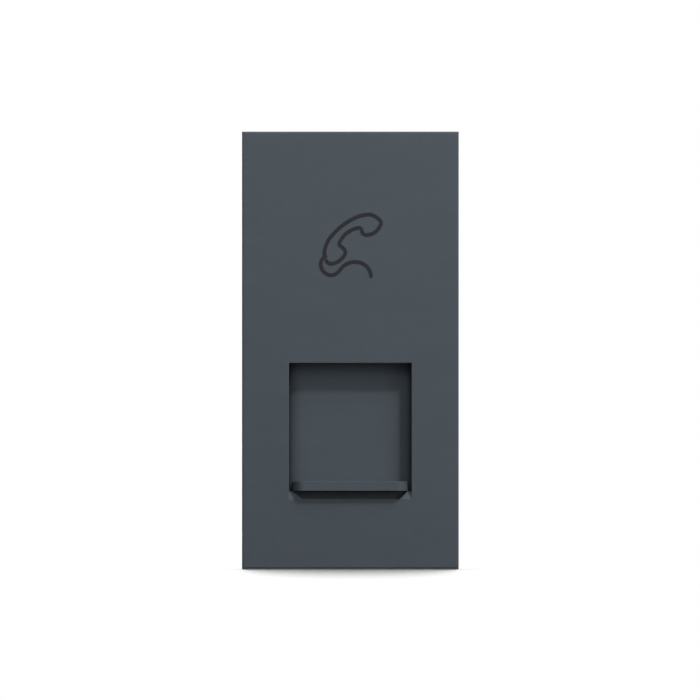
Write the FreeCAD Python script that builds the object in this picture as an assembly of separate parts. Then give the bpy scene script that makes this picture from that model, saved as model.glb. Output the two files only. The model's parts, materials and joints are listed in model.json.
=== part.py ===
"""Telephone wall socket: a one-module insert for a modular mounting frame, with a spring-loaded dust shutter.

Frame: X to the right, Y back into the wall, Z up, in millimetres. The origin is the centre of the plane where
the cover's rear rim seats on the mounting frame. Depths are measured back from the cover's front face.
"""

import FreeCAD
import Part
import math
import os

# Sizes that the whole module takes
module_width = 22.2
module_height = 44.8
cover_depth = 8.5  # front face to the mounting frame's face
fit_gap = 0.1  # between fixed pieces that fit into each other
slide_gap = 0.2  # on each side of the sliding shutter
thread_gap = 0.02  # between a screw and the hole it cuts its thread in

# Front cover
face_wall = 1.8
skirt_wall = 1.3
edge_radius = 0.2
window_width = 12.55
window_height = 13.15
sill_height = 7.94  # from the module's bottom edge up to the window's sill
window_edge_radius = 0.05
sill_bevel_height = 0.78
sill_bevel_depth = 0.5
nail_notch_top = 11.6  # width of the pocket in the sill's bevel, for a nail under the shutter's lip
nail_notch_bottom = 10.0
nail_notch_depth = 0.85

# Telephone mark printed on the face
mark_stroke = 0.38
mark_film = 0.03
handset_path = (  # chain of arcs: start, then a point on the arc and its end for each, as x and z
    (-2.67, 9.59), (-2.57, 10.50), (-2.08, 11.52), (-1.02, 12.62), (0.33, 13.50),
    (1.18, 13.82), (2.02, 13.92), (2.60, 13.68), (3.05, 13.30), (3.14, 13.05),
    (3.04, 12.75), (2.55, 12.12), (1.75, 11.82), (1.40, 11.89), (1.19, 12.19),
    (1.07, 12.47), (0.81, 12.56), (-0.18, 12.15), (-1.02, 11.20), (-1.14, 10.93),
    (-1.04, 10.72), (-0.83, 10.56), (-0.63, 10.36), (-0.51, 10.02), (-0.68, 9.62),
    (-1.20, 9.13), (-1.84, 8.88), (-2.20, 8.92), (-2.45, 9.17),
)
cord_path = (
    (-2.54, 9.61), (-2.88, 9.33), (-3.03, 8.75), (-2.72, 8.06), (-1.98, 7.69),
    (-1.50, 7.83), (-1.13, 8.15), (-0.93, 8.39), (-0.72, 8.61), (-0.15, 8.95),
    (0.52, 9.05), (1.57, 8.69), (2.12, 7.61),
)

# Dust shutter with its finger lip
shutter_thickness = 1.2
shutter_side_lap = 0.8  # behind the face on each side of the window
shutter_top_lap = 2.5
shutter_bottom_lap = 0.5
shoulder_width = 1.3  # rounded shoulders down both sides of the shutter's front, quarter ellipses
shoulder_depth = 0.6
shoulder_lap = 0.12  # they end so far behind the window's edge
lip_thickness = 0.96
lip_end_gap = 0.36
lip_projection = 0.84  # proud of the face
lip_corner_width = 1.15  # the lip's front corners are quarter ellipses
lip_corner_depth = 1.9
stop_gap = 0.06  # left under the lip when closed and over it when open
shoe_height = 1.5  # block at the shutter's top edge that carries the spring

# Return spring
spring_outer = 2.4
spring_wire = 0.22
spring_turns = 12
spring_closed_turns = 1.0  # dead turns at each end
spring_points_per_turn = 8
spring_pin_radius = 0.65
spring_pin_length = 2.0

# Guide plate: set on the cover's pegs, its rails on the face, and held by the housing's rim
guide_wall = 1.2
rail_over = 0.8  # rail below the closed shutter
trough_wall = 1.0
abutment_height = 1.2
locating_peg_radius = 0.7
locating_peg_side_inset = 4.0  # from the cover's inside wall
locating_peg_end_inset = 2.6

# Modular six-way jack
jack_side_wall = 1.1
jack_floor = 1.6
jack_back_wall = 3.7
jack_drop = 0.69  # below the window's top edge
jack_set_back = 0.2  # behind the guide plate's front
jack_front_wall = 1.8
plug_width = 9.8
plug_height = 6.85
plug_depth = 11.5
latch_width = 6.3
latch_height = 1.2
latch_slot_width = 4.0
latch_slot_depth = 2.75  # below the plug opening
latch_room_width = 6.8
latch_room_depth = 9.0
mouth_bevel = 0.35
roof_height = 1.4  # from the plug opening up to the jack's top
insert_side = 0.54  # beyond the contacts' pitch
insert_height = 0.95
insert_front = 2.3  # behind the jack's front face
insert_back_gap = 1.7  # to the board
notch_front = 1.0  # behind the jack's front face
peg_radius = 1.2
peg_inset = 1.6  # from the jack's side
peg_drop = 6.5  # below the jack's top
peg_beyond = 0.5  # past the board's back

# Contact wires
contact_count = 6
contact_pitch = 1.02
contact_radius = 0.225
contact_bend = 0.5
groove_width = 0.5
contact_slope = math.radians(24)
contact_tip_gap = 1.75  # from the slanting end to the back of the plug opening
contact_row_step = 1.8  # every second pin is raised to a second row
contact_beyond = 1.0  # past the board's back

# Circuit board
board_thickness = 1.6
pin_hole_radius = 0.35
solder_height = 0.7
solder_radius = 0.68

# Screw terminals, three above and three below
terminals_per_block = 3
block_side_gap = 0.6  # to the housing's inside wall
block_side = 0.4  # plastic beyond the outer terminal cells
block_edge_gap = 0.4  # from the board's top or bottom edge
block_wall = 1.0
cell_wall = 0.8  # between two terminals
cage_height = 5.2
cage_depth = 6.0
cage_wall = 0.7
cage_thread_wall = 1.2
cage_lift = 0.4  # off the board
cage_gap = 0.1
cage_pin_width = 0.9
cage_pin_height = 0.6
cage_pin_beyond = 1.0
entry_inset = 0.6  # wire entry narrower than the cage, on each side
terminal_screw_inset = 0.8  # from the cage's side to the screw's shank
terminal_head_rim = 0.55  # head over the shank
terminal_head_height = 1.3
terminal_head_rise = 1.2  # head off the cage, terminal open
terminal_head_recess = 0.9  # head below the block's back
terminal_slot_width = 0.5
terminal_slot_depth = 0.8

# Housing, which carries the board and clips into the mounting frame
case_wall = 1.2
case_corner_radius = 0.8
ledge_width = 0.8
ledge_length = 1.5
case_over_board = 0.2
parting_bevel = 0.15
barb_height = 0.8
barb_length = 5.0  # along Z
barb_inset_z = 9.1  # from the housing's top or bottom to the barb's middle
barb_set_back = 0.8  # behind the guide plate
barb_rim = 1.0  # cover left behind the barb's slot
frame_thickness = 2.0
frame_gap = 0.2
latch_arm_width = 7.0
latch_arm_slot = 0.7
latch_arm_tip = 0.8  # behind the seat plane
latch_hook_height = 1.3
latch_hook_flat = 0.6
latch_ramp_stop = 1.0  # in front of the arm's root
case_boss_radius = 2.0
case_boss_length = 8.0
case_rib = 1.2

# Rear cover
rear_wall = 1.4
rear_block_recess = 0.6
rear_edge_radius = 0.6
wire_port = 3.4
case_screw_inset = 2.2  # from the housing's inside wall
case_screw_radius = 1.0
case_head_radius = 1.85
case_head_height = 1.1
case_tube_radius = 2.6
case_screw_bite = 6.0  # length of screw in the housing's boss
recess_width = 0.45
recess_depth = 0.55

# Depths from the front face that follow from the sizes
shutter_front = face_wall + slide_gap
guide_front = shutter_front + shutter_thickness + slide_gap
guide_back = guide_front + guide_wall
trough_back = shutter_front + spring_outer + slide_gap
jack_front = guide_front + jack_set_back
plug_back = jack_front + plug_depth
board_front = plug_back + jack_back_wall
insert_start = jack_front + insert_front
insert_end = board_front - insert_back_gap
board_back = board_front + board_thickness
case_back = board_back + case_over_board
cage_front = board_back + cage_lift
cage_back = cage_front + cage_depth
terminal_head_back = cage_back + terminal_head_rise + terminal_head_height
block_back = terminal_head_back + terminal_head_recess
rear_face = block_back + rear_block_recess

# Heights and widths that follow from the sizes
sill = sill_height - module_height / 2
window_top = sill + window_height
lip_bottom = sill + stop_gap
lip_top = lip_bottom + lip_thickness
shutter_travel = window_top - stop_gap - lip_top
shutter_top = window_top + shutter_top_lap
shutter_bottom = sill - shutter_bottom_lap
shutter_width = window_width + 2 * shutter_side_lap
shoe_width = spring_outer + 2 * slide_gap
rail_low = shutter_bottom - rail_over
inside_width = module_width - 2 * skirt_wall
inside_height = module_height - 2 * skirt_wall
case_width = inside_width - 2 * fit_gap
case_height = inside_height - 2 * fit_gap
room_width = case_width - 2 * case_wall
room_height = case_height - 2 * case_wall
board_width = room_width - 2 * fit_gap
board_height = room_height - 2 * fit_gap
abutment_bottom = room_height / 2 - fit_gap - abutment_height
jack_top = window_top - jack_drop
plug_top = jack_top - roof_height
plug_bottom = plug_top - plug_height
latch_slot_bottom = plug_bottom - latch_slot_depth
jack_bottom = latch_slot_bottom - jack_floor
jack_width = plug_width + 2 * jack_side_wall
contact_row_width = contact_count * contact_pitch
insert_width = contact_row_width + 2 * insert_side
wire_z = jack_top - groove_width + contact_radius
block_width = room_width - 2 * block_side_gap
terminal_pitch = (block_width - 2 * block_side) / terminals_per_block
cage_width = terminal_pitch - cell_wall - 2 * cage_gap
entry_size = cage_width - 2 * entry_inset
terminal_screw_radius = cage_width / 2 - terminal_screw_inset
terminal_head_radius = terminal_screw_radius + terminal_head_rim
access_radius = terminal_head_radius + slide_gap
block_outer = board_height / 2 - block_edge_gap
cell_outer = block_outer - block_wall
cell_inner = cell_outer - cage_height - 2 * cage_gap
block_inner = cell_inner - block_wall
cage_centre = (cell_outer + cell_inner) / 2
tunnel_front = cage_front + cage_wall
tunnel_back = cage_back - cage_thread_wall
tunnel_centre = (tunnel_front + tunnel_back) / 2
cage_pin_z = cage_centre + cage_height / 2 - cage_pin_height
spring_axis = shutter_front + spring_outer / 2
locating_peg_x = inside_width / 2 - locating_peg_side_inset
locating_peg_z = inside_height / 2 - locating_peg_end_inset
case_screw_x = room_width / 2 - case_screw_inset
case_screw_z = (jack_top + block_inner) / 2
barb_z = case_height / 2 - barb_inset_z
peg_x = jack_width / 2 - peg_inset


def vec(x, depth, z):
    """A point, its depth measured back from the front face."""
    return FreeCAD.Vector(x, depth - cover_depth, z)


def box(x0, x1, d0, d1, z0, z1):
    return Part.makeBox(x1 - x0, d1 - d0, z1 - z0, vec(x0, d0, z0))


def centred_box(width, d0, d1, z0, z1, x=0.0):
    return box(x - width / 2, x + width / 2, d0, d1, z0, z1)


def rod(radius, d0, d1, x, z):
    """A cylinder along the depth."""
    return Part.makeCylinder(radius, d1 - d0, vec(x, d0, z), FreeCAD.Vector(0, 1, 0))


def post(radius, z0, z1, depth, x=0.0):
    """A cylinder along the height."""
    return Part.makeCylinder(radius, z1 - z0, vec(x, depth, z0), FreeCAD.Vector(0, 0, 1))


def prism(outline, x0, x1):
    """A solid between two widths, from an outline of depths and heights."""
    points = [vec(x0, d, z) for d, z in outline]
    face = Part.Face(Part.makePolygon(points + points[:1]))
    return face.extrude(FreeCAD.Vector(x1 - x0, 0, 0))


def rounded_bar(width, height, d0, d1, radius):
    """A bar along the depth with rounded corners, centred on the module."""
    bar = centred_box(width, d0, d1, -height / 2, height / 2)
    edges = [e for e in bar.Edges if abs(e.tangentAt(e.FirstParameter).y) > 0.99]
    return bar.makeFillet(radius, edges)


def edges_at_depth(shape, depth):
    """The edges that lie in the plane at a depth."""
    y = depth - cover_depth
    return [e for e in shape.Edges if abs(e.BoundBox.YMin - y) < 1e-6 and abs(e.BoundBox.YMax - y) < 1e-6]


def cross_recess(depth, x, z, reach):
    """A cross cut into a screw head from behind."""
    bottom, half = depth - recess_depth, recess_width / 2
    across = centred_box(2 * reach, bottom, depth, z - half, z + half, x)
    upright = centred_box(recess_width, bottom, depth, z - reach, z + reach, x)
    return across.fuse(upright)


def screw(shank_radius, tip, seat, head_radius, head_height, x, z):
    """A pan-head screw driven from behind, with its head on the depth named seat."""
    head = rod(head_radius, seat, seat + head_height, x, z)
    head = head.makeFillet(head_height / 3, edges_at_depth(head, seat + head_height))
    body = rod(shank_radius, tip, seat, x, z).fuse(head)
    return body.cut(cross_recess(seat + head_height, x, z, 0.6 * head_radius)).removeSplitter()


def locating_peg_places():
    return [(s * locating_peg_x, t * locating_peg_z) for s in (-1, 1) for t in (-1, 1)]


def case_screw_places():
    return [(s * case_screw_x, case_screw_z) for s in (-1, 1)]


def terminal_x():
    return [(i - (terminals_per_block - 1) / 2) * terminal_pitch for i in range(terminals_per_block)]


def contact_x():
    return [(i - (contact_count - 1) / 2) * contact_pitch for i in range(contact_count)]


def contact_row(i):
    """Height of a contact's pin in the board: every second one is raised."""
    return wire_z + (contact_row_step if i % 2 else 0.0)


def barb_span():
    return guide_back + barb_set_back, cover_depth - barb_rim


def front_cover():
    half_height, inside_half = module_height / 2, inside_height / 2
    cover = centred_box(module_width, 0, cover_depth, -half_height, half_height)
    cover = cover.makeFillet(edge_radius, edges_at_depth(cover, 0))
    cover = cover.cut(centred_box(inside_width, face_wall, cover_depth, -inside_half, inside_half))
    cover = cover.cut(centred_box(window_width, 0, face_wall, sill, window_top))
    rim = [e for e in edges_at_depth(cover, 0) if e.BoundBox.DiagonalLength < 1.1 * window_height]
    cover = cover.makeFillet(window_edge_radius, rim)
    in_front = -sill_bevel_depth
    bevel = prism(
        [(in_front, sill - 2 * sill_bevel_height), (sill_bevel_depth, sill),
         (sill_bevel_depth, sill + sill_bevel_height), (in_front, sill + sill_bevel_height)],
        -window_width / 2, window_width / 2,
    )
    cover = cover.cut(bevel)
    notch_low = sill - sill_bevel_height
    outline = [(-nail_notch_bottom / 2, notch_low), (nail_notch_bottom / 2, notch_low),
               (nail_notch_top / 2, sill), (-nail_notch_top / 2, sill)]
    points = [vec(x, 0, z) for x, z in outline]
    notch = Part.Face(Part.makePolygon(points + points[:1]))
    cover = cover.cut(notch.extrude(FreeCAD.Vector(0, nail_notch_depth, 0)))
    for x, z in locating_peg_places():
        cover = cover.fuse(rod(locating_peg_radius, face_wall, guide_back, x, z))
    d0, d1 = barb_span()
    for z in (-barb_z, barb_z):
        half = barb_length / 2 + fit_gap
        cover = cover.cut(centred_box(module_width + 1, d0 - fit_gap, d1 + fit_gap, z - half, z + half))
    return cover.removeSplitter()


def arc_piece(a, via, b, section):
    """One stretch of a printed line: the section swept round the arc through three points."""
    start = vec(a[0], 0, a[1])
    arc = Part.Arc(start, vec(via[0], 0, via[1]), vec(b[0], 0, b[1])).toShape()
    half, film = section
    radial = (start - arc.Curve.Center).normalize() * half
    front = FreeCAD.Vector(0, -film, 0)
    inner, outer = start - radial, start + radial
    face = Part.Face(Part.makePolygon([inner, outer, outer + front, inner + front, inner]))
    angle = math.degrees(arc.LastParameter - arc.FirstParameter)
    return face.revolve(arc.Curve.Center, arc.Curve.Axis, angle)


def printed_line(path):
    """A printed line of even width along a chain of arcs, with round ends and joints."""
    half = mark_stroke / 2
    pieces = [rod(half, -mark_film, 0, x, z) for x, z in path[::2]]
    for i in range(0, len(path) - 2, 2):
        pieces.append(arc_piece(path[i], path[i + 1], path[i + 2], (half, mark_film)))
    return pieces[0].multiFuse(pieces[1:]).removeSplitter()


def telephone_mark():
    return printed_line(handset_path).fuse(printed_line(cord_path)).removeSplitter()


def soft_bar(half, corner, depths, low, high):
    """An upright bar between two depths, its front corners rounded back as quarter ellipses."""
    (corner_width, corner_depth), (front, back) = corner, depths
    flat, corner_end = half - corner_width, front + corner_depth
    edges = [Part.LineSegment(vec(-flat, front, low), vec(flat, front, low))]
    for side in (-1, 1):
        top, end = vec(side * flat, front, low), vec(side * half, corner_end, low)
        long, short = (top, end) if corner_width < corner_depth else (end, top)
        ellipse = Part.Ellipse(long, short, vec(side * flat, corner_end, low))
        edges.append(Part.Arc(ellipse, 0, math.pi / 2))
        edges.append(Part.LineSegment(end, vec(side * half, back, low)))
    edges.append(Part.LineSegment(vec(-half, back, low), vec(half, back, low)))
    outline = Part.Wire(Part.__sortEdges__([e.toShape() for e in edges]))
    return Part.Face(outline).extrude(FreeCAD.Vector(0, 0, high - low))


def dust_shutter():
    back, shoulder = shutter_front + shutter_thickness, shutter_front + shoulder_depth
    panel = centred_box(shutter_width, shoulder, back, shutter_bottom, shutter_top)
    shoulders = (shoulder_width, shoulder_depth)
    panel = panel.fuse(
        soft_bar(window_width / 2 + shoulder_lap, shoulders, (shutter_front, back), shutter_bottom, shutter_top)
    )
    corner = (lip_corner_width, lip_corner_depth)
    lip = soft_bar(window_width / 2 - lip_end_gap, corner, (-lip_projection, shoulder), lip_bottom, lip_top)
    shoe_back, shoe_low = trough_back - slide_gap, shutter_top - shoe_height
    shoe = centred_box(shoe_width, shutter_front, shoe_back, shoe_low, shutter_top)
    pin = post(spring_pin_radius, shutter_top, shutter_top + spring_pin_length, spring_axis)
    return panel.fuse([lip, shoe, pin]).removeSplitter()


def return_spring():
    """A compression spring with closed ends, its wire swept along a curve of uneven pitch."""
    radius = (spring_outer - spring_wire) / 2
    low, high = shutter_top + spring_wire / 2, abutment_bottom - spring_wire / 2
    open_turns = spring_turns - 2 * spring_closed_turns
    open_rise = high - low - 2 * spring_closed_turns * spring_wire

    def height(turn):
        closed = min(turn, spring_closed_turns) + max(turn - spring_turns + spring_closed_turns, 0)
        opened = min(max(turn - spring_closed_turns, 0), open_turns)
        return low + closed * spring_wire + opened * open_rise / open_turns

    points = []
    for i in range(spring_turns * spring_points_per_turn + 1):
        turn = i / spring_points_per_turn
        angle = 2 * math.pi * turn
        mean = sum(height(turn + k) for k in (-0.25, 0, 0.25)) / 3
        z = min(max(mean, low), high)
        points.append(vec(radius * math.cos(angle), spring_axis + radius * math.sin(angle), z))
    curve = Part.BSplineCurve()
    curve.interpolate(points)
    along = curve.tangent(curve.FirstParameter)[0]
    section = Part.Wire(Part.Circle(points[0], along, spring_wire / 2).toShape())
    return Part.Wire(curve.toShape()).makePipeShell([section], True, True)


def shutter_guide():
    plate = centred_box(case_width, guide_front, guide_back, -case_height / 2, case_height / 2)
    rail_inner = shutter_width / 2 + slide_gap
    rail_width = case_width / 2 - rail_inner
    for side in (-1, 1):
        centre = side * (rail_inner + rail_width / 2)
        plate = plate.fuse(
            centred_box(rail_width, face_wall, guide_front, rail_low, case_height / 2, centre)
        )
    trough_width = shoe_width + 2 * slide_gap
    trough_low = shutter_top - shoe_height - slide_gap
    trough_outer = trough_width + 2 * trough_wall
    top = abutment_bottom + abutment_height
    floor = trough_low - trough_wall
    plate = plate.fuse(centred_box(trough_outer, guide_back, trough_back + trough_wall, floor, top))
    pin_end = abutment_bottom - spring_pin_length
    plate = plate.fuse(centred_box(trough_outer, face_wall, guide_front, pin_end, top))
    plate = plate.cut(centred_box(trough_width, face_wall, trough_back, trough_low, abutment_bottom))
    plate = plate.fuse(post(spring_pin_radius, pin_end, abutment_bottom, spring_axis))
    opening = jack_width + 2 * fit_gap
    plate = plate.cut(
        centred_box(opening, guide_front, guide_back, jack_bottom - fit_gap, jack_top + fit_gap)
    )
    for x, z in locating_peg_places():
        plate = plate.cut(rod(locating_peg_radius + fit_gap, guide_front, guide_back, x, z))
    return plate.removeSplitter()


def jack_body():
    body = centred_box(jack_width, jack_front, board_front, jack_bottom, jack_top)
    body = body.cut(centred_box(plug_width, jack_front, plug_back, plug_bottom, plug_top))
    behind = jack_front + jack_front_wall
    body = body.cut(centred_box(latch_width, jack_front, behind, plug_bottom - latch_height, plug_bottom))
    body = body.cut(centred_box(latch_slot_width, jack_front, behind, latch_slot_bottom, plug_bottom))
    room_back = jack_front + latch_room_depth
    body = body.cut(centred_box(latch_room_width, behind, room_back, latch_slot_bottom, plug_bottom))
    bevel = prism(
        [(jack_front, plug_bottom - mouth_bevel), (jack_front + mouth_bevel, plug_bottom),
         (jack_front, plug_bottom)],
        -plug_width / 2, plug_width / 2,
    )
    body = body.cut(bevel)
    notch_width = insert_width + 2 * fit_gap
    roof = jack_top - insert_height
    notch_start = jack_front + notch_front
    body = body.cut(centred_box(notch_width, notch_start, board_front, roof, jack_top))
    body = body.cut(centred_box(contact_row_width, notch_start, plug_back, plug_top, roof))
    for side in (-1, 1):
        peg = rod(peg_radius, board_front, board_back + peg_beyond, side * peg_x, jack_top - peg_drop)
        body = body.fuse(peg)
    return body.removeSplitter()


def jack_insert():
    insert = centred_box(insert_width, insert_start, insert_end, jack_top - insert_height, jack_top)
    for x in contact_x():
        insert = insert.cut(
            centred_box(groove_width, insert_start, insert_end, jack_top - groove_width, jack_top, x)
        )
    return insert.removeSplitter()


def contact_wire(i, x):
    """One contact: pin in the board, run along the insert's groove, then bent under into the plug opening."""
    bend_depth = insert_start - contact_radius
    pin_row = contact_row(i)
    pin_end = vec(x, board_back + contact_beyond, pin_row)
    swing = math.pi - contact_slope

    def on_bend(angle):
        forward, down = contact_bend * math.sin(angle), contact_bend * (1 - math.cos(angle))
        return vec(x, bend_depth - forward, wire_z - down)

    bend_end = on_bend(swing)
    run = plug_back - contact_tip_gap - bend_depth
    reach = FreeCAD.Vector(0, run, -run * math.tan(contact_slope))
    corners = [pin_end, vec(x, insert_end, wire_z), on_bend(0)]
    if pin_row != wire_z:
        corners.insert(1, vec(x, (insert_end + 2 * board_front) / 3, pin_row))
    edges = [Part.LineSegment(a, b) for a, b in zip(corners, corners[1:])]
    edges.append(Part.Arc(on_bend(0), on_bend(swing / 2), bend_end))
    edges.append(Part.LineSegment(bend_end, bend_end + reach))
    path = Part.Wire([e.toShape() for e in edges])
    section = Part.Wire(Part.Circle(pin_end, FreeCAD.Vector(0, 1, 0), contact_radius).toShape())
    return path.makePipeShell([section], True, True, 2)


def circuit_board():
    board = centred_box(board_width, board_front, board_back, -board_height / 2, board_height / 2)
    for i, x in enumerate(contact_x()):
        board = board.cut(rod(pin_hole_radius, board_front, board_back, x, contact_row(i)))
    for side in (-1, 1):
        peg_z = jack_top - peg_drop
        board = board.cut(rod(peg_radius + fit_gap / 2, board_front, board_back, side * peg_x, peg_z))
        for x in terminal_x():
            board = board.cut(cage_pin(x, side, fit_gap / 2, board_front, board_back))
    for x, z in case_screw_places():
        board = board.cut(rod(case_screw_radius + fit_gap, board_front, board_back, x, z))
    return board.removeSplitter()


def cage_pin(x, side, grow, d0, d1):
    half = cage_pin_height / 2 + grow
    z = side * cage_pin_z
    return centred_box(cage_pin_width + 2 * grow, d0, d1, z - half, z + half, x)


def solder_joints():
    """A cone of solder round each pin: contact pins behind the board, terminal pins in front of it."""
    joints = []
    for i, x in enumerate(contact_x()):
        base = vec(x, board_back, contact_row(i))
        cone = Part.makeCone(solder_radius, contact_radius, solder_height, base, FreeCAD.Vector(0, 1, 0))
        joints.append(cone.cut(rod(contact_radius, board_back, board_back + solder_height, x, contact_row(i))))
    for side in (-1, 1):
        for x in terminal_x():
            base = vec(x, board_front, side * cage_pin_z)
            tip_radius = math.hypot(cage_pin_width, cage_pin_height) / 2
            cone = Part.makeCone(solder_radius, tip_radius, solder_height, base, FreeCAD.Vector(0, -1, 0))
            pin = cage_pin(x, side, 0.0, board_front - solder_height, board_front)
            joints.append(cone.cut(pin))
    return joints


def mirrored(shape, side):
    """The shape as it is above the centre, or turned over to sit below it."""
    if side > 0:
        return shape
    return shape.mirror(FreeCAD.Vector(0, 0, 0), FreeCAD.Vector(0, 0, 1))


def terminal_block():
    block = centred_box(block_width, board_back, block_back, block_inner, block_outer)
    entry = entry_size / 2
    for x in terminal_x():
        cell = cage_width + 2 * cage_gap
        block = block.cut(centred_box(cell, board_back, cage_back + cage_gap, cell_inner, cell_outer, x))
        block = block.cut(rod(access_radius, cage_back, block_back, x, cage_centre))
        block = block.cut(
            centred_box(entry_size, tunnel_centre - entry, tunnel_centre + entry, cell_outer, block_outer, x)
        )
    return block.removeSplitter()


def terminal_cage(x):
    low, high = cage_centre - cage_height / 2, cage_centre + cage_height / 2
    cage = centred_box(cage_width, cage_front, cage_back, low, high, x)
    cage = cage.cut(centred_box(cage_width - 2 * cage_wall, tunnel_front, tunnel_back, low, high, x))
    cage = cage.cut(rod(terminal_screw_radius + thread_gap, tunnel_back, cage_back, x, cage_centre))
    pin = cage_pin(x, 1, 0.0, board_front - cage_pin_beyond, cage_front)
    return cage.fuse(pin).removeSplitter()


def terminal_screw(x):
    seat, back = cage_back + terminal_head_rise, terminal_head_back
    tip = tunnel_back - cage_wall
    head = rod(terminal_head_radius, seat, back, x, cage_centre)
    head = head.makeFillet(0.2 * terminal_head_height, edges_at_depth(head, back))
    low, high = cage_centre - terminal_slot_width / 2, cage_centre + terminal_slot_width / 2
    cut = centred_box(2 * terminal_head_radius, back - terminal_slot_depth, back, low, high, x)
    return rod(terminal_screw_radius, tip, seat, x, cage_centre).fuse(head).cut(cut).removeSplitter()


def barb(side, z):
    """A snap barb on the housing's side wall, its ramp to the front."""
    d0, d1 = barb_span()
    wall = side * case_width / 2
    tip = wall + side * barb_height
    points = [(wall, d0), (tip, d1 - (d1 - d0) / 3), (tip, d1), (wall, d1)]
    low = z - barb_length / 2
    face = Part.Face(Part.makePolygon([vec(x, d, low) for x, d in points + points[:1]]))
    return face.extrude(FreeCAD.Vector(0, 0, barb_length))


def latch_arm(side):
    """What one sprung latch adds to the housing, and the slots that free it."""
    wall = case_height / 2
    shoulder = cover_depth + frame_thickness + frame_gap
    root = board_front - ledge_length - fit_gap
    tip = cover_depth + latch_arm_tip
    peak = wall + latch_hook_height
    ramp_end = root - latch_ramp_stop
    hook = prism(
        [(shoulder, wall), (shoulder, peak), (shoulder + latch_hook_flat, peak), (ramp_end, wall)],
        -latch_arm_width / 2, latch_arm_width / 2,
    )
    inner = wall - case_wall
    freed = latch_arm_width + 2 * latch_arm_slot
    slots = centred_box(freed, tip - latch_arm_slot, root, inner, wall)
    slots = slots.cut(centred_box(latch_arm_width, tip, root, inner, wall))
    return mirrored(hook, side), mirrored(slots, side)


def housing():
    ledge_front = board_front - ledge_length
    shell = rounded_bar(case_width, case_height, guide_back, case_back, case_corner_radius)
    shell = shell.makeChamfer(parting_bevel, edges_at_depth(shell, case_back))
    shell = shell.cut(centred_box(room_width, board_front, case_back, -room_height / 2, room_height / 2))
    shell = shell.cut(centred_box(room_width, guide_back, ledge_front, -room_height / 2, room_height / 2))
    inner_half = room_height / 2 - ledge_width
    inner_width = room_width - 2 * ledge_width
    shell = shell.cut(centred_box(inner_width, ledge_front, board_front, -inner_half, inner_half))
    for side in (-1, 1):
        hook, slots = latch_arm(side)
        shell = shell.cut(slots).fuse(hook)
        for z in (-barb_z, barb_z):
            shell = shell.fuse(barb(side, z))
    for x, z in case_screw_places():
        start = board_front - case_boss_length
        side = math.copysign(1.0, x)
        boss = rod(case_boss_radius, start, board_front, x, z)
        wall = side * (room_width / 2 + fit_gap)
        rib = box(min(x, wall), max(x, wall), start, board_front, z - case_rib / 2, z + case_rib / 2)
        hole = rod(case_screw_radius + thread_gap, board_front - case_screw_bite - fit_gap, board_front, x, z)
        shell = shell.fuse(boss.fuse(rib)).cut(hole)
    return shell.removeSplitter()


def rear_cover():
    cover = rounded_bar(case_width, case_height, case_back, rear_face, case_corner_radius)
    cover = cover.makeFillet(rear_edge_radius, edges_at_depth(cover, rear_face))
    cover = cover.makeChamfer(parting_bevel, edges_at_depth(cover, case_back))
    inside = rear_face - rear_wall
    cover = cover.cut(centred_box(room_width, case_back, inside, -room_height / 2, room_height / 2))
    port_front, port_back = tunnel_centre - wire_port / 2, tunnel_centre + wire_port / 2
    for side in (-1, 1):
        window = centred_box(
            block_width + 2 * fit_gap, inside, rear_face, block_inner - fit_gap, block_outer + fit_gap
        )
        cover = cover.cut(mirrored(window, side))
        for x in terminal_x():
            port = centred_box(wire_port, port_front, port_back, room_height / 2, case_height / 2, x)
            cover = cover.cut(mirrored(port, side))
    for x, z in case_screw_places():
        foot = rod(case_boss_radius, board_back, case_back, x, z)
        cover = cover.fuse([foot, rod(case_tube_radius, case_back, inside, x, z)])
    head_seat = rear_face - case_head_height - fit_gap
    for x, z in case_screw_places():
        cover = cover.cut(rod(case_screw_radius + fit_gap, board_back, rear_face, x, z))
        cover = cover.cut(rod(case_head_radius + fit_gap, head_seat, rear_face, x, z))
    return cover.removeSplitter()


def case_screws():
    seat = rear_face - case_head_height - fit_gap
    tip = board_front - case_screw_bite
    return [
        screw(case_screw_radius, tip, seat, case_head_radius, case_head_height, x, z)
        for x, z in case_screw_places()
    ]


def build():
    """Every sub-part by its node name."""
    nodes = {
        "front_cover": front_cover(),
        "telephone_mark": telephone_mark(),
        "dust_shutter": dust_shutter(),
        "shutter_spring": return_spring(),
        "shutter_guide": shutter_guide(),
        "jack_body": jack_body(),
        "jack_insert": jack_insert(),
        "circuit_board": circuit_board(),
        "solder_joints": Part.makeCompound(solder_joints()),
        "housing": housing(),
        "rear_cover": rear_cover(),
        "case_screws": Part.makeCompound(case_screws()),
    }
    for i, x in enumerate(contact_x()):
        nodes[f"jack_contact_{i + 1}"] = contact_wire(i, x)
    number = 1
    for side, place in ((1, "upper"), (-1, "lower")):
        nodes[f"terminal_block_{place}"] = mirrored(terminal_block(), side)
        for x in terminal_x():
            nodes[f"terminal_cage_{number}"] = mirrored(terminal_cage(x), side)
            nodes[f"terminal_screw_{number}"] = mirrored(terminal_screw(x), side)
            number += 1
    return nodes


def main():
    os.makedirs("parts", exist_ok=True)
    for name, shape in build().items():
        if not shape.isValid() or shape.Volume <= 0:
            raise RuntimeError(f"{name} is not a valid solid")
        shape.exportStep(f"parts/{name}.step")
        size = shape.BoundBox
        print(f"{name}: {len(shape.Solids)} solid, {shape.Volume:.2f} mm3, "
              f"{size.XLength:.2f} x {size.YLength:.2f} x {size.ZLength:.2f} mm")
    print(f"shutter travel {shutter_travel:.3f} mm")


main()
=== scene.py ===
import json
import math

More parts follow.
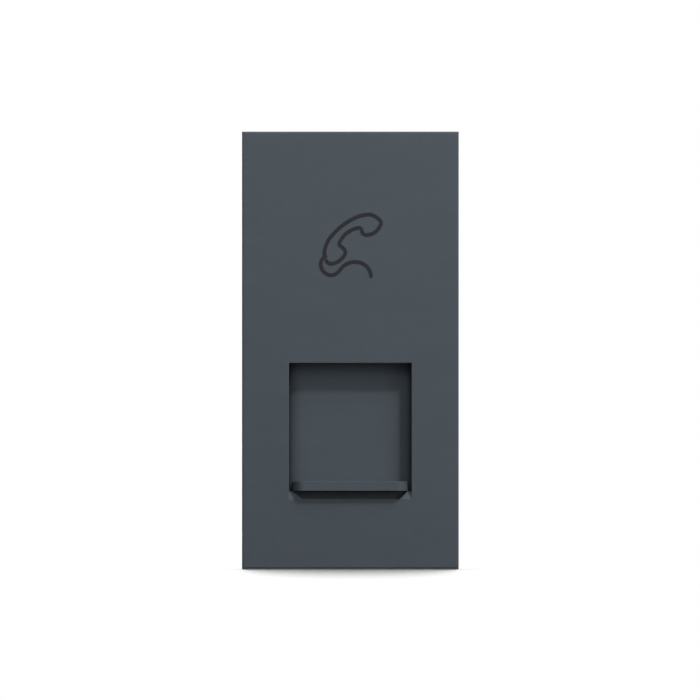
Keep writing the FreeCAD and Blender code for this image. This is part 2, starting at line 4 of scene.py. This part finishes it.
import bmesh
import bpy
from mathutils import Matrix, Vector


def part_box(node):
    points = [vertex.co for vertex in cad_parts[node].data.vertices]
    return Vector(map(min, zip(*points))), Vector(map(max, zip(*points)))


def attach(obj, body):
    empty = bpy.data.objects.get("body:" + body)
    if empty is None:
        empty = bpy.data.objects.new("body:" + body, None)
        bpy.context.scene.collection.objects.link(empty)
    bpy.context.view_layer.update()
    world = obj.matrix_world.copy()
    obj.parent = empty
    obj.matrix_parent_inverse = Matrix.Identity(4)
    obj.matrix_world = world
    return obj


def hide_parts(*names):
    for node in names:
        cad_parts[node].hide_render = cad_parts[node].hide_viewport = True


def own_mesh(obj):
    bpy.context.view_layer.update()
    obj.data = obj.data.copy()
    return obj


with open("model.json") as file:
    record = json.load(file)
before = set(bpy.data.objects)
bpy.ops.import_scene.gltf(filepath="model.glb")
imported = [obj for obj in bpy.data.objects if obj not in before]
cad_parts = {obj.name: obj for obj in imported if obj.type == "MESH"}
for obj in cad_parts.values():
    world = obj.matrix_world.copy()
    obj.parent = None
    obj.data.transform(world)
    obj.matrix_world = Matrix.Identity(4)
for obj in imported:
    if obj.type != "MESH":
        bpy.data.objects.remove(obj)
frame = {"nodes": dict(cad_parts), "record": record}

# Lengths are written in millimetres of the part's own frame and turned into metres with this
MM = 0.001
COVER_DEPTH = 8.5  # the front face lies this far in front of the frame's origin
FRONT, BACK = (0, -1, 0), (0, 1, 0)
FULL_EDGE = 0.88  # cosine between the rounded normal and the true one at which the mask of an edge is full

nodes = frame["nodes"]
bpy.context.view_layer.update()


def at(x, depth, z):
    """A point, its depth measured back from the front face."""
    return Vector((x * MM, (depth - COVER_DEPTH) * MM, z * MM))


class Nodes:
    """A shader's nodes."""

    def __init__(self, tree):
        self.tree = tree
        tree.nodes.clear()

    def new(self, kind, **settings):
        node = self.tree.nodes.new(kind)
        for key, value in settings.items():
            setattr(node, key, value)
        return node

    def put(self, socket, value):
        if isinstance(value, bpy.types.NodeSocket):
            self.tree.links.new(value, socket)
        else:
            socket.default_value = value

    def ramp(self, value, low, high, to_low=0.0, to_high=1.0, curve="LINEAR"):
        node = self.new("ShaderNodeMapRange", interpolation_type=curve)
        ends = {"Value": value, "From Min": low, "From Max": high, "To Min": to_low, "To Max": to_high}
        for name, end in ends.items():
            self.put(node.inputs[name], end)
        return node.outputs["Result"]

    def maths(self, operation, a, b):
        node = self.new("ShaderNodeMath", operation=operation)
        self.put(node.inputs[0], a)
        self.put(node.inputs[1], b)
        return node.outputs["Value"]

    def blend(self, factor, a, b):
        node = self.new("ShaderNodeMix", data_type="RGBA")
        self.put(node.inputs["Factor"], factor)
        for name, v in (("A", a), ("B", b)):
            socket = [s for s in node.inputs if s.name == name and s.type == "RGBA"][0]
            self.put(socket, v if isinstance(v, bpy.types.NodeSocket) else (*v, 1.0))
        return [s for s in node.outputs if s.type == "RGBA"][0]

    def rays_that_show(self):
        """1 for rays that show what surrounds the part, 0 for rays that light it."""
        rays = self.new("ShaderNodeLightPath").outputs
        mirrored = self.maths("MAXIMUM", rays["Is Glossy Ray"], rays["Is Transmission Ray"])
        return self.maths("MAXIMUM", rays["Is Camera Ray"], mirrored)


class Finish(Nodes):
    """A material whose patterns are worked in millimetres, fixed to the piece."""

    def __init__(self, name):
        self.material = bpy.data.materials.new(name)
        self.material.use_nodes = True
        super().__init__(self.material.node_tree)
        self.shader = self.new("ShaderNodeBsdfPrincipled")
        self.put(self.new("ShaderNodeOutputMaterial").inputs["Surface"], self.shader.outputs["BSDF"])
        self.place = self.new("ShaderNodeTexCoord").outputs["Object"]

    def spread(self, per_mm):
        """The place, scaled to so many features a millimetre, one number or one for each axis."""
        if not isinstance(per_mm, tuple):
            per_mm = (per_mm,) * 3
        mapping = self.new("ShaderNodeMapping")
        self.put(mapping.inputs["Vector"], self.place)
        self.put(mapping.inputs["Scale"], [v / MM for v in per_mm])
        return mapping.outputs["Vector"]

    def noise(self, per_mm, detail=2.0, roughness=0.5, twist=0.0):
        node = self.new("ShaderNodeTexNoise")
        settings = {"Vector": self.spread(per_mm), "Scale": 1.0, "Detail": detail,
                    "Roughness": roughness, "Distortion": twist}
        for name, value in settings.items():
            self.put(node.inputs[name], value)
        return node.outputs["Fac"]

    def cells(self, per_mm):
        node = self.new("ShaderNodeTexVoronoi", feature="F1")
        self.put(node.inputs["Vector"], self.spread(per_mm))
        self.put(node.inputs["Scale"], 1.0)
        return node.outputs["Distance"]

    def edge(self, radius):
        """Soft edges of a radius in millimetres: the rounded normal, and a mask that is 1 along an edge."""
        bevel = self.new("ShaderNodeBevel", samples=6)
        self.put(bevel.inputs["Radius"], radius * MM)
        dot = self.new("ShaderNodeVectorMath", operation="DOT_PRODUCT")
        self.put(dot.inputs[0], bevel.outputs["Normal"])
        self.put(dot.inputs[1], self.new("ShaderNodeNewGeometry").outputs["Normal"])
        return bevel.outputs["Normal"], self.ramp(dot.outputs["Value"], 1.0, FULL_EDGE)

    def bump(self, height, rise, normal=None, strength=1.0):
        """Relief that rises by so many millimetres over the height's range."""
        node = self.new("ShaderNodeBump")
        self.put(node.inputs["Strength"], strength)
        self.put(node.inputs["Distance"], rise * MM)
        self.put(node.inputs["Height"], height)
        if normal is not None:
            self.put(node.inputs["Normal"], normal)
        return node.outputs["Normal"]

    def fix(self, **values):
        """Values that are the same all over, on the shader's own sockets."""
        for name, value in values.items():
            self.shader.inputs[name.replace("_", " ")].default_value = value

    def finish(self, color, roughness, normal):
        self.put(self.shader.inputs["Base Color"], color)
        self.put(self.shader.inputs["Roughness"], roughness)
        self.put(self.shader.inputs["Normal"], normal)
        return self.material


def shade(color, factor):
    return tuple(min(1.0, c * factor) for c in color)


def grey(level):
    return (level,) * 3


def moulded(name, color, rough, grain_per_mm, grain_rise, mottle=0.05, wear=1.35, edge_radius=0.12, specular=0.3):
    """A moulded plastic: spark-eroded grain, faint flow marks, and edges rubbed a little lighter."""
    f = Finish(name)
    normal, worn = f.edge(edge_radius)
    flow = f.noise((0.12, 0.12, 0.35), detail=3.0, twist=0.6)
    patches = f.noise(0.9, detail=4.0, roughness=0.6)
    grain = f.noise(grain_per_mm, detail=2.0, roughness=0.55)
    pits = f.cells(grain_per_mm * 0.8)
    rubbed = f.maths("MULTIPLY", worn, f.ramp(f.noise(1.6, detail=3.0), 0.35, 0.7, 0.15, 0.8))
    tone = f.blend(f.ramp(flow, 0.3, 0.7), shade(color, 1 - mottle), shade(color, 1 + mottle))
    tone = f.blend(f.ramp(patches, 0.35, 0.65, 0.0, 0.5), tone, shade(color, 1 - 0.6 * mottle))
    tone = f.blend(f.ramp(pits, 0.0, 0.45, 0.35, 0.0), tone, shade(color, 0.8))
    tone = f.blend(rubbed, tone, shade(color, wear))
    roughness = f.ramp(patches, 0.3, 0.7, rough - 0.04, rough + 0.05)
    roughness = f.maths("SUBTRACT", roughness, f.maths("MULTIPLY", rubbed, 0.1))
    relief = f.maths("ADD", grain, f.maths("MULTIPLY", pits, 0.6))
    relief = f.bump(relief, grain_rise, f.bump(flow, 0.03, normal, 0.25), 0.8)
    f.fix(Specular_IOR_Level=specular, IOR=1.5)
    return f.finish(tone, roughness, relief)


def metal(name, color, rough, tarnish, marks_per_mm, marks_rise):
    """A metal with fine tool marks along its long way, tarnish in patches and brighter edges."""
    f = Finish(name)
    normal, worn = f.edge(0.06)
    marks = f.noise(marks_per_mm, detail=3.0, roughness=0.6)
    patches = f.noise(0.8, detail=4.0, roughness=0.65, twist=0.4)
    spots = f.noise(3.5, detail=2.0)
    tone = f.blend(f.ramp(patches, 0.35, 0.7), color, tarnish)
    tone = f.blend(f.ramp(spots, 0.6, 0.75, 0.0, 0.4), tone, shade(tarnish, 0.8))
    tone = f.blend(f.maths("MULTIPLY", worn, 0.7), tone, shade(color, 1.12))
    roughness = f.ramp(patches, 0.3, 0.7, rough - 0.06, rough + 0.12)
    roughness = f.maths("ADD", roughness, f.ramp(marks, 0.3, 0.7, -0.04, 0.05))
    f.fix(Metallic=1.0)
    return f.finish(tone, roughness, f.bump(marks, marks_rise, normal))


def printed(name, color):
    """Pad-printed ink: matt, slightly uneven, with a few pale pinholes."""
    f = Finish(name)
    patches = f.noise(3.0, detail=3.0)
    grain = f.noise(11.0, detail=2.0)
    tone = f.blend(f.ramp(patches, 0.3, 0.7), shade(color, 0.92), shade(color, 1.1))
    tone = f.blend(f.ramp(grain, 0.62, 0.78, 0.0, 0.5), tone, shade(color, 1.5))
    f.fix(Specular_IOR_Level=0.05)
    return f.finish(tone, f.ramp(grain, 0.3, 0.7, 0.5, 0.62), f.bump(grain, 0.006))


def laminate(name, color, cut_edge):
    """Solder mask over a glass-cloth laminate: the weave shows faintly, cut edges are paler."""
    f = Finish(name)
    normal, worn = f.edge(0.08)
    along = f.noise((0.4, 0.4, 5.0), detail=2.0)
    across = f.noise((5.0, 0.4, 0.4), detail=2.0)
    weave = f.maths("MULTIPLY", along, across)
    blot = f.noise(0.5, detail=4.0)
    tone = f.blend(f.ramp(weave, 0.15, 0.4), shade(color, 0.8), shade(color, 1.2))
    tone = f.blend(f.ramp(blot, 0.4, 0.7, 0.0, 0.4), tone, shade(color, 1.35))
    tone = f.blend(f.maths("MULTIPLY", worn, 0.5), tone, cut_edge)
    f.fix(Specular_IOR_Level=0.5)
    return f.finish(tone, f.ramp(blot, 0.3, 0.7, 0.24, 0.36), f.bump(weave, 0.02, normal, 0.6))


finishes = {
    "anthracite_plastic": (moulded, dict(
        color=(0.0738, 0.0890, 0.1043), rough=0.52, grain_per_mm=9.0, grain_rise=0.010,
        mottle=0.03, wear=1.3, edge_radius=0.05, specular=0.07)),
    "black_plastic": (moulded, dict(
        color=(0.022, 0.022, 0.024), rough=0.42, grain_per_mm=4.5, grain_rise=0.026, mottle=0.08, wear=2.0)),
    "jack_plastic": (moulded, dict(
        color=(0.015, 0.015, 0.017), rough=0.27, grain_per_mm=5.0, grain_rise=0.004, mottle=0.06, wear=2.0)),
    "grey_plastic": (moulded, dict(
        color=(0.52, 0.54, 0.53), rough=0.46, grain_per_mm=3.2, grain_rise=0.038, wear=1.12)),
    "mark_ink": (printed, dict(color=(0.0290, 0.0285, 0.0340))),
    "board_laminate": (laminate, dict(color=(0.02, 0.15, 0.06), cut_edge=(0.42, 0.40, 0.22))),
    "spring_steel": (metal, dict(
        color=(0.56, 0.57, 0.58), rough=0.24, tarnish=(0.40, 0.40, 0.41), marks_per_mm=6.0, marks_rise=0.004)),
    "solder": (metal, dict(
        color=(0.60, 0.61, 0.62), rough=0.26, tarnish=(0.42, 0.43, 0.44), marks_per_mm=4.0, marks_rise=0.01)),
    "contact_gold": (metal, dict(
        color=(0.83, 0.61, 0.23), rough=0.38, tarnish=(0.70, 0.46, 0.14),
        marks_per_mm=(14.0, 0.8, 6.0), marks_rise=0.003)),
    "terminal_brass": (metal, dict(
        color=(0.71, 0.55, 0.29), rough=0.3, tarnish=(0.46, 0.31, 0.13),
        marks_per_mm=(1.2, 9.0, 9.0), marks_rise=0.008)),
    "zinc_steel": (metal, dict(
        color=(0.62, 0.63, 0.64), rough=0.28, tarnish=(0.47, 0.48, 0.47), marks_per_mm=7.0, marks_rise=0.008)),
}
surfaces = {slot: make(slot, **settings) for slot, (make, settings) in finishes.items()}

for part in frame["record"]["subparts"]:
    solid = nodes[part["node"]]
    solid.data.materials.clear()
    solid.data.materials.append(surfaces[part["material_slot"]])


def skin(bm, rings):
    """Faces between rings of vertices one after the other, and one over each end."""
    for a, b in zip(rings, rings[1:]):
        for k in range(len(a)):
            n = (k + 1) % len(a)
            bm.faces.new((a[k], a[n], b[n], b[k]))
    bm.faces.new(list(reversed(rings[0])))
    bm.faces.new(rings[-1])


def wire(bm, points, radius, sides):
    """A round wire along points, in metres."""
    rings = []
    for i, p in enumerate(points):
        along = (points[min(i + 1, len(points) - 1)] - points[max(i - 1, 0)]).normalized()
        side = along.orthogonal() if not rings else side - along * side.dot(along)
        side.normalize()
        up = along.cross(side)
        ring = []
        for k in range(sides):
            t = 2 * math.pi * k / sides
            ring.append(bm.verts.new(p + (side * math.cos(t) + up * math.sin(t)) * radius))
        rings.append(ring)
    skin(bm, rings)


def smooth_object(name, bm, material):
    mesh = bpy.data.meshes.new(name)
    bm.to_mesh(mesh)
    bm.free()
    for polygon in mesh.polygons:
        polygon.use_smooth = True
    mesh.materials.append(material)
    obj = bpy.data.objects.new(name, mesh)
    bpy.context.scene.collection.objects.link(obj)
    return obj


def piece(name, bm, slot, body):
    """A finished piece from a mesh in the part's frame, riding on a body."""
    bmesh.ops.recalc_face_normals(bm, faces=bm.faces)
    obj = smooth_object(name, bm, surfaces[slot])
    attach(obj, body)
    return obj


# Return spring, wound: one dead turn at each end and open turns between
SPRING_DEPTH = 3.2
SPRING_OUTER = 2.4
SPRING_WIRE = 0.22
SPRING_TURNS = 12
SPRING_LOW, SPRING_HIGH = 1.19, 18.5
DEAD_TURN_RISE = SPRING_WIRE * 1.05
SPRING_POINTS_PER_TURN = 40


def spring_points():
    """The coil's centre line."""
    low, high = SPRING_LOW + SPRING_WIRE / 2, SPRING_HIGH - SPRING_WIRE / 2
    radius = (SPRING_OUTER - SPRING_WIRE) / 2
    open_turns = SPRING_TURNS - 2
    open_rise = (high - low - 2 * DEAD_TURN_RISE) / open_turns
    points = []
    for i in range(SPRING_TURNS * SPRING_POINTS_PER_TURN + 1):
        turn = i / SPRING_POINTS_PER_TURN
        z = low + DEAD_TURN_RISE * min(turn, 1) + open_rise * min(max(turn - 1, 0), open_turns)
        z += DEAD_TURN_RISE * max(turn - (SPRING_TURNS - 1), 0)
        t = 2 * math.pi * turn
        points.append(at(radius * math.cos(t), SPRING_DEPTH + radius * math.sin(t), z))
    return points


bm = bmesh.new()
wire(bm, spring_points(), SPRING_WIRE / 2 * MM, 10)
coil = piece("return_spring_coil", bm, "spring_steel", "case")
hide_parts("shutter_spring")
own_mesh(coil)

# Threads, wound as ridges round the screws' shanks
THREAD_STEPS_PER_TURN = 32
THREAD_SUNK = 0.02  # the ridge's root lies this far inside the shank
THREAD_ROOT, THREAD_CREST = 0.3, 0.06  # half widths of the ridge, as shares of the pitch
TERMINAL_THREAD = dict(depths=(25.0, 27.95), shank=1.2, crest=1.32, pitch=0.5)
CASE_THREAD = dict(depths=(13.0, 18.6), shank=1.0, crest=1.16, pitch=0.8)
CASE_SCREW_X, CASE_SCREW_Z = 6.3, 4.95


def thread(bm, x, z, depths, shank, crest, pitch):
    """A thread's ridge wound round a shank that runs along the depth, fading out over its end turns."""
    steps = int(round((depths[1] - depths[0]) / pitch * THREAD_STEPS_PER_TURN))
    root = shank - THREAD_SUNK
    rings = []
    for i in range(steps + 1):
        turn = i / THREAD_STEPS_PER_TURN
        t = 2 * math.pi * turn
        lead = min(1.0, turn, (steps - i) / THREAD_STEPS_PER_TURN)
        tip = shank + (crest - shank) * lead
        profile = ((root, -THREAD_ROOT), (tip, -THREAD_CREST), (tip, THREAD_CREST), (root, THREAD_ROOT))
        rings.append([
            bm.verts.new(at(x + r * math.cos(t), depths[0] + pitch * (turn + share), z + r * math.sin(t)))
            for r, share in profile
        ])
    skin(bm, rings)


bm = bmesh.new()
for node in sorted(nodes):
    if node.startswith("terminal_screw_"):
        low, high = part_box(node)
        centre = (low + high) / 2 / MM
        thread(bm, centre.x, centre.z, **TERMINAL_THREAD)
piece("terminal_screw_threads", bm, "zinc_steel", "case")

bm = bmesh.new()
for side in (-1, 1):
    thread(bm, side * CASE_SCREW_X, CASE_SCREW_Z, **CASE_THREAD)
piece("case_screw_threads", bm, "zinc_steel", "case")

# Floor: flat under and behind the part, with a gentle fall towards the viewer in front of it
FLOOR = -22.41  # just under the cover's lower edge
FLOOR_EDGE = -8.2  # where the fall starts
FLOOR_FALL = 1.35
FLOOR_RUN = 14.0
FLOOR_STEP = 0.4  # between the mesh's rows over the fall
FLOOR_STEPS = 50
FLOOR_FAR = (30.0, 100.0, 300.0, 700.0, 1500.0)  # the other rows, in front and behind
FLOOR_SIDES = (20.0, 50.0, 150.0, 500.0, 1500.0)  # the columns, left and right
PAPER = 0.35, 0.36  # share of light that the floor gives back, in its darkest and lightest patches
CONTACT = 16.0  # reach of the contact shadow painted into the floor's colour where the part stands
CONTACT_OPEN, CONTACT_SHUT = 0.85, 0.5  # open share of the sky at which the painted contact shadow starts, and where it is full
CONTACT_SHADE = 0.98
CONTACT_CURVE = 1.35
GLOW = 0.70, 1.0  # white that is added to the floor, close to the part and far from it
GLOW_NEAR, GLOW_FAR = 40.0, 200.0
BOUNCE = 0.08, 0.40  # share of light that the floor throws up at the part, in front and behind
BOUNCE_FRONT, BOUNCE_BACK = -5.0, 15.0


def floor_height(y):
    t = min(max((FLOOR_EDGE - y) / FLOOR_RUN, 0.0), 1.0)
    return FLOOR - FLOOR_FALL * (1 - (1 - t) ** 2)


def floor_finish():
    f = Finish("floor_white")
    f.fix(Specular_IOR_Level=0.0, Emission_Color=(1, 1, 1, 1))
    # Painted contact shadow: ambient occlusion near the part darkens the floor's colour and the white added to
    # it, standing in for the shade where the part stands
    contact = f.new("ShaderNodeAmbientOcclusion", samples=16)
    f.put(contact.inputs["Distance"], CONTACT * MM)
    dark = f.maths("POWER", f.ramp(contact.outputs["AO"], CONTACT_OPEN, CONTACT_SHUT), CONTACT_CURVE)
    painted_shadow_factor = f.maths("SUBTRACT", 1.0, f.maths("MULTIPLY", dark, CONTACT_SHADE))
    away = f.new("ShaderNodeVectorMath", operation="LENGTH")
    f.put(away.inputs[0], f.place)
    glow = f.ramp(away.outputs["Value"], GLOW_NEAR * MM, GLOW_FAR * MM, *GLOW)
    glow = f.maths("MULTIPLY", painted_shadow_factor, glow)
    f.put(f.shader.inputs["Emission Strength"], f.maths("MULTIPLY", f.rays_that_show(), glow))
    paper = f.blend(f.noise(0.05, detail=2.0), grey(PAPER[0]), grey(PAPER[1]))
    # the painted contact shadow also darkens the floor's own colour
    paper = f.blend(painted_shadow_factor, grey(0.0), paper)
    where = f.new("ShaderNodeSeparateXYZ")
    f.put(where.inputs["Vector"], f.place)
    behind = f.ramp(where.outputs["Y"], BOUNCE_FRONT * MM, BOUNCE_BACK * MM)
    bounce = f.blend(behind, grey(BOUNCE[0]), grey(BOUNCE[1]))
    tone = f.blend(f.new("ShaderNodeLightPath").outputs["Is Diffuse Ray"], paper, bounce)
    from_below = f.new("ShaderNodeNewGeometry").outputs["Backfacing"]
    f.put(f.shader.inputs["Alpha"], f.maths("SUBTRACT", 1.0, from_below))
    return f.finish(tone, 0.9, f.bump(f.noise(0.4), 0.01, strength=0.3))


def floor():
    fall = [FLOOR_EDGE - FLOOR_RUN + FLOOR_STEP * i for i in range(FLOOR_STEPS)]
    rows = [-y for y in reversed(FLOOR_FAR)] + fall + [0.0, *FLOOR_FAR]
    columns = [-x for x in reversed(FLOOR_SIDES)] + [0.0, *FLOOR_SIDES]
    bm = bmesh.new()
    grid = [[bm.verts.new((x * MM, y * MM, floor_height(y) * MM)) for x in columns] for y in rows]
    for row, following in zip(grid, grid[1:]):
        for i in range(len(columns) - 1):
            bm.faces.new((row[i], row[i + 1], following[i + 1], following[i]))
    smooth_object("floor", bm, floor_finish())


floor()


def lamp(name, direction, distance, size, level, facing):
    """A round lamp. The level is what it adds to a white surface that faces the way named by facing."""
    light = bpy.data.lights.new(name, "AREA")
    light.shape = "DISK"
    light.size = size
    toward = Vector(direction).normalized()
    light.energy = level * math.pi ** 2 * distance ** 2 / toward.dot(Vector(facing))
    obj = bpy.data.objects.new(name, light)
    bpy.context.scene.collection.objects.link(obj)
    obj.location = toward * distance
    obj.rotation_mode = "QUATERNION"
    obj.rotation_quaternion = toward.to_track_quat("Z", "Y")
    obj.visible_camera = False


# Direction, then distance and width in metres, then level
lamp("key", (0.666, -1.0, 1.388), 0.30, 0.029, 0.257, FRONT)
lamp("top_box", (0.92, -1.0, 2.05), 0.32, 0.12, 0.148, FRONT)
lamp("left_box", (-0.60, -1.0, 0.90), 0.36, 0.16, 0.100, FRONT)
lamp("right_box", (1.10, -1.0, 0.15), 0.36, 0.14, 0.110, FRONT)
lamp("front_box", (0.10, -1.0, 0.50), 0.36, 0.16, 0.150, FRONT)
lamp("low_box", (0.05, -1.0, 0.12), 0.36, 0.16, 0.048, FRONT)
lamp("back", (-0.60, 0.80, 0.14), 0.50, 0.25, 0.50, BACK)

# Surroundings: white to look at, with a soft fill from behind as the only light
FILL_FRONT, FILL_BACK = 0.0, 0.28
FILL_STARTS, FILL_FULL = -0.3, 0.5  # how far a direction points to the back

world = bpy.data.worlds.new("studio")
bpy.context.scene.world = world
world.use_nodes = True
sky = Nodes(world.node_tree)
toward = sky.new("ShaderNodeSeparateXYZ")
sky.put(toward.inputs[0], sky.new("ShaderNodeTexCoord").outputs["Generated"])
fill = sky.new("ShaderNodeBackground")
fill_level = sky.ramp(toward.outputs["Y"], FILL_STARTS, FILL_FULL, FILL_FRONT, FILL_BACK, curve="SMOOTHSTEP")
sky.put(fill.inputs["Color"], (1, 1, 1, 1))
sky.put(fill.inputs["Strength"], fill_level)
white = sky.new("ShaderNodeBackground")
sky.put(white.inputs["Color"], (1, 1, 1, 1))
sky.put(white.inputs["Strength"], 1.0)
mix = sky.new("ShaderNodeMixShader")
sky.put(mix.inputs[0], sky.rays_that_show())
sky.put(mix.inputs[1], fill.outputs[0])
sky.put(mix.inputs[2], white.outputs[0])
sky.put(sky.new("ShaderNodeOutputWorld").inputs["Surface"], mix.outputs[0])

PICTURE_WIDTH = 700
PIXELS_PER_MM = 9.763
VIEW_CENTRE_X, VIEW_CENTRE_Z = -0.035, 0.031
VIEW_DISTANCE = 300.0

camera = bpy.data.cameras.new("camera")
camera.type = "ORTHO"
camera.ortho_scale = PICTURE_WIDTH / PIXELS_PER_MM * MM
camera.clip_start, camera.clip_end = 0.01, 10
view = bpy.data.objects.new("camera", camera)
bpy.context.scene.collection.objects.link(view)
view.location = (VIEW_CENTRE_X * MM, -VIEW_DISTANCE * MM, VIEW_CENTRE_Z * MM)
view.rotation_euler = (math.pi / 2, 0, 0)
bpy.context.scene.camera = view
bpy.context.scene.view_settings.view_transform = "Standard"
